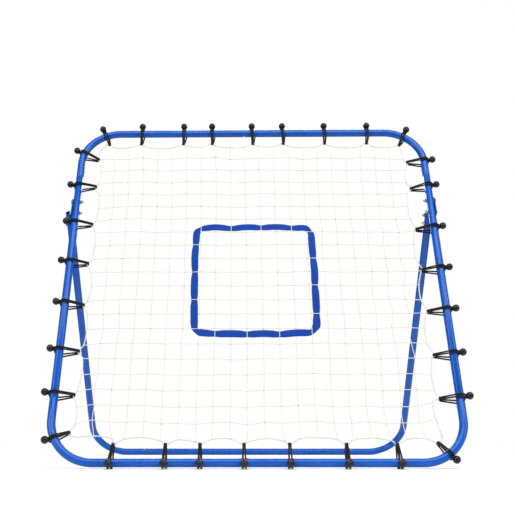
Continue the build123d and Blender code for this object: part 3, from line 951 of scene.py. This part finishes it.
def webbing_route():
    """The strap's flat path round the target, and where it passes behind (-1) or over (1) a cord."""
    corner_r, step, bow = 0.030, 0.002, 0.003
    straight = TARGET_HALF - corner_r
    runs = np.arange(-straight, straight, step)
    side = np.stack([runs, TARGET_HALF + bow * (1 - (runs / straight) ** 2)], 1)
    turns = np.radians(np.arange(90, 0, -4.5))
    corner = straight + corner_r * np.stack([np.cos(turns), np.sin(turns)], 1)
    quarter = np.concatenate([side, corner])
    crossings = MESH_PITCH * (np.arange(1, 8) - 3.5)
    nearest = [int(np.argmin(np.abs(quarter[:, 0] - x))) for x in crossings]
    first = len(runs) - nearest[-1]
    path, stops, levels = [], [], []
    for _ in range(4):
        stops += [len(path) + index for index in (first, *nearest)]
        levels += (-1, 1) * 4
        path += list(quarter)
        quarter = quarter @ np.array([[0, -1], [1, 0]])
    level = np.interp(np.arange(len(path)), stops, levels, period=len(path))
    return np.array(path), np.sin(pi / 2 * level)


def webbing_rings():
    """Cross-sections of the strap as it weaves over and under the twine."""
    pinched, creased, waver = 0.16, 0.25, 0.0004  # narrowing behind a cord and at a corner; depth
    path, weave = webbing_route()
    count = len(path)
    index = np.arange(count)
    ahead = np.roll(path, -1, 0) - np.roll(path, 1, 0)
    ahead /= np.linalg.norm(ahead, axis=1)[:, None]
    sideways = np.stack([-ahead[:, 1], ahead[:, 0]], 1)
    pinch = np.clip(-weave, 0, 1) ** 2
    in_corner = np.exp(-((np.abs(path).min(1) - TARGET_HALF + 0.008) / 0.006) ** 2)
    width = WEBBING_W * (1 - pinched * pinch - creased * in_corner)
    depth = WEAVE_DEPTH * weave + waver * np.sin(index * 0.11)
    sides = 28
    turn = np.arange(sides) * 2 * pi / sides
    flat = np.sign(np.cos(turn)) * np.abs(np.cos(turn)) ** 0.5
    thick = np.sign(np.sin(turn)) * np.abs(np.sin(turn)) ** 0.5
    rings = []
    for i in range(count):
        x = flat * width[i] / 2
        curl = -0.0012 * flat ** 2 * (0.4 + pinch[i]) + 0.0009 * in_corner[i] * np.cos(flat * 7)
        z = depth[i] + thick * WEBBING_T / 2 + curl
        spot = path[i] + x[:, None] * sideways[i]
        rings.append(np.concatenate([spot, z[:, None]], 1))
    rings = np.array(rings)
    flat_net = on_net(rings[..., :2].reshape(-1, 2))
    lifted = sagged(flat_net)
    lifted[:, 2] += rings[..., 2].ravel()
    runs = np.concatenate([[0], np.cumsum(np.linalg.norm(np.roll(path, -1, 0) - path, axis=1))])
    return on_frame(lifted).reshape(count, sides, 3), runs, np.append(flat, flat[0]) * WEBBING_W / 2


rings, runs, across_strap = webbing_rings()
mesh = mesh_of([lofted(rings, closed=True, along=runs, around=across_strap)], WEBBING)
piece("target_webbing", mesh, ["target_webbing"])


# ---- ball bungees


def bungee_axes(tube_point, net_point):
    """Unit directions on the frame's plane: towards the net, along the tube, and the reach."""
    tube_point, net_point = np.array(tube_point), np.array(net_point)
    straight = HALF - BEND_R
    radial = np.sign(tube_point) * np.maximum(np.abs(tube_point) - straight, 0)
    towards = -radial / np.linalg.norm(radial)
    along = np.array((-towards[1], towards[0]))
    gap = net_point - tube_point
    return towards, along, gap @ towards, gap @ along


def bungee_path(tube_point, net_point, swing, lean, apart):
    """The doubled elastic: ball, behind the tube, through the net, over the tube, round the neck."""
    spread_behind, spread_at_net, spread_at_ball, hook_r, play = 0.0050, 0.0023, 0.0021, 0.0062, 0.0002
    towards, along, reach, slant = bungee_axes(tube_point, net_point)
    wrap_r = TUBE_R + play + BUNGEE_D / 2
    eye_r = (EDGE_CORD_D + BUNGEE_D) / 2 + play
    cloud = np.concatenate([circle_points((0, 0), wrap_r, count=60),
                            circle_points((reach, 0), eye_r, count=24)])
    hull = cloud[convex_hull_2d([tuple(p) for p in cloud])]
    first, second = hull[1] - hull[0], hull[2] - hull[1]
    if first[0] * second[1] < first[1] * second[0]:
        hull = hull[::-1]
    ball_turn = pi - radians(swing)
    ball_spot = np.array((cos(ball_turn), sin(ball_turn)))
    start = int(np.argmin(np.linalg.norm(hull - wrap_r * ball_spot, axis=1)))
    hull = np.roll(hull, -start, 0)
    towards_net, out = hull[:, 0], hull[:, 1]
    share = np.clip(towards_net / reach, 0, 1)
    behind = np.arange(len(hull)) < int(np.argmax(towards_net))
    spread = np.where(behind, spread_behind, apart) * (1 - share) + spread_at_net * share
    near = np.clip((hull @ ball_spot) / wrap_r, 0, 1) ** 4
    spread = np.where(behind, spread * (1 - near) + 0.0022 * near, spread)
    shift = slant * share + lean * np.minimum(out / wrap_r, 0)
    skew = 0.1 * lean
    one = np.stack([towards_net, out, shift + spread], 1)
    other = np.stack([towards_net, out, shift - spread], 1)
    turns = np.linspace(0, pi, 9)[1:-1]
    tangent = np.array((-ball_spot[1], ball_spot[0]))
    rim = wrap_r + spread_at_ball
    hook = [np.append(ball_spot * rim + tangent * hook_r * sin(t), skew + hook_r * cos(t)) for t in turns]
    inside = np.append(ball_spot * (BALL_OUT - 0.004), skew)
    line = np.array([inside, np.append(ball_spot * rim, skew + spread_at_ball), *one, *hook,
                     *other[::-1], np.append(ball_spot * rim, skew - spread_at_ball), inside])
    flat = np.array(tube_point) + line[:, :1] * towards + line[:, 2:] * along
    ball = np.array(tube_point) + BALL_OUT * ball_spot[0] * towards + skew * along
    spots = on_frame(np.concatenate([flat, line[:, 1:2]], 1))
    centre = on_frame(np.append(ball, BALL_OUT * ball_spot[1]))
    foot = on_frame(np.append(np.array(tube_point) + skew * along, 0.0))
    return spots, centre, (centre - foot) / BALL_OUT


BUNGEE_CORDS = cord_tree(ELASTIC, 10, 5)
BUNGEE_BALLS = ball_tree(BALL_PLASTIC)
rng = np.random.default_rng(3)
for side, rows in BUNGEES.items():
    # how far the loops lean along their tube, and half the most that the front strands part by
    tilt = {"left": 0.013, "right": -0.010, "top": -0.004}.get(side, 0.0)
    widest = {"left": 0.0032, "right": 0.0042}.get(side, 0.0050)
    made = [bungee_path(*row, tilt + rng.normal(0, 0.0012), rng.uniform(0.0026, widest))
            for row in rows]
    mesh = grown(paths_mesh([line for line, _, _ in made]), BUNGEE_CORDS, Diameter=BUNGEE_D, Step=0.0025,
                 Lay=0.05, Groove=0.06)
    piece(f"bungee_loops_{side}", mesh, [f"bungee_loops_{side}"])
    centres, aims = [[c] for _, c, _ in made], np.array([aim for _, _, aim in made])
    mesh = grown(paths_mesh(centres, aim=aims), BUNGEE_BALLS, Ball_radius=BALL_R, Neck_length=0.005)
    name = f"bungee_balls_{side}"
    piece(name, mesh, [name], sharp=40)


# ---- stage, light and camera


FLOOR_R, FADE_FROM, FADE_TO = 2.3, 0.9, 2.2


def pale_floor():
    """Matt white floor that fades away round its rim."""
    made = bpy.data.materials.new("pale_floor")
    made.use_nodes = True
    tree = made.node_tree
    matt = tree.nodes["Principled BSDF"]
    matt.inputs["Base Color"].default_value = srgb("F9F9F8")
    matt.inputs["Roughness"].default_value = 0.9
    place = object_place(tree)
    far = add(tree, "ShaderNodeVectorMath", {0: place}, operation="LENGTH").outputs["Value"]
    fade = mapped(tree, far, FADE_FROM, FADE_TO)
    clear = add(tree, "ShaderNodeBsdfTransparent").outputs[0]
    mixed = add(tree, "ShaderNodeMixShader", {0: fade, 1: matt.outputs[0], 2: clear}).outputs[0]
    tree.links.new(mixed, tree.nodes["Material Output"].inputs[0])
    return made


def floor():
    turns = np.arange(64) * 2 * pi / 64
    mesh = bpy.data.meshes.new("floor")
    mesh.from_pydata([(FLOOR_R * cos(t), FLOOR_R * sin(t), 0.0) for t in turns], [], [tuple(range(64))])
    mesh.materials.append(pale_floor())
    new_object("floor", mesh)


def soft_light(name, place, size, power):
    """A soft box that looks at the frame's centre, its power in watts."""
    light = bpy.data.lights.new(name, "AREA")
    light.shape, light.size, light.size_y, light.energy = "RECTANGLE", *size, power
    made = new_object(name, light)
    made.location = place
    made.rotation_euler = (Vector(CENTRE) - Vector(place)).to_track_quat("-Z", "Y").to_euler()


floor()
soft_light("overhead_box", (0.4, -2.2, 3.4), (4.2, 2.8), 150)
soft_light("left_box", (-3.0, -2.4, 1.6), (0.8, 2.4), 52)
soft_light("right_box", (3.2, -1.8, 1.8), (0.6, 2.4), 44)
soft_light("rear_box", (0.0, 3.0, 2.6), (3.0, 1.0), 90)
world = bpy.data.worlds.new("studio")
world.use_nodes = True
seen = add(world.node_tree, "ShaderNodeLightPath").outputs["Is Camera Ray"]
glow = mapped(world.node_tree, seen, 0.0, 1.0, 0.16, 1.0)  # white to the camera, faint as a light
world.node_tree.nodes["Background"].inputs[0].default_value = (1, 1, 1, 1)
world.node_tree.links.new(glow, world.node_tree.nodes["Background"].inputs[1])
bpy.context.scene.world = world
bpy.context.scene.view_settings.view_transform = "Standard"


def camera():
    yaw, pitch, roll = radians(0.75), radians(11.23), radians(-0.03)
    ahead = Vector((-sin(yaw) * cos(pitch), cos(yaw) * cos(pitch), sin(pitch)))
    level = Vector((cos(yaw), sin(yaw), 0))
    right = level * cos(roll) + level.cross(ahead) * sin(roll)
    lens = bpy.data.cameras.new("camera")
    lens.lens, lens.sensor_width, lens.shift_x = 57.6, 36, 0.063
    lens.clip_start, lens.clip_end = 0.05, 200
    made = new_object("camera", lens)
    turn = Matrix((right, right.cross(ahead), -ahead)).transposed()
    made.matrix_world = Matrix.Translation((-0.0568, -2.8809, 0.1324)) @ turn.to_4x4()
    bpy.context.scene.camera = made


camera()
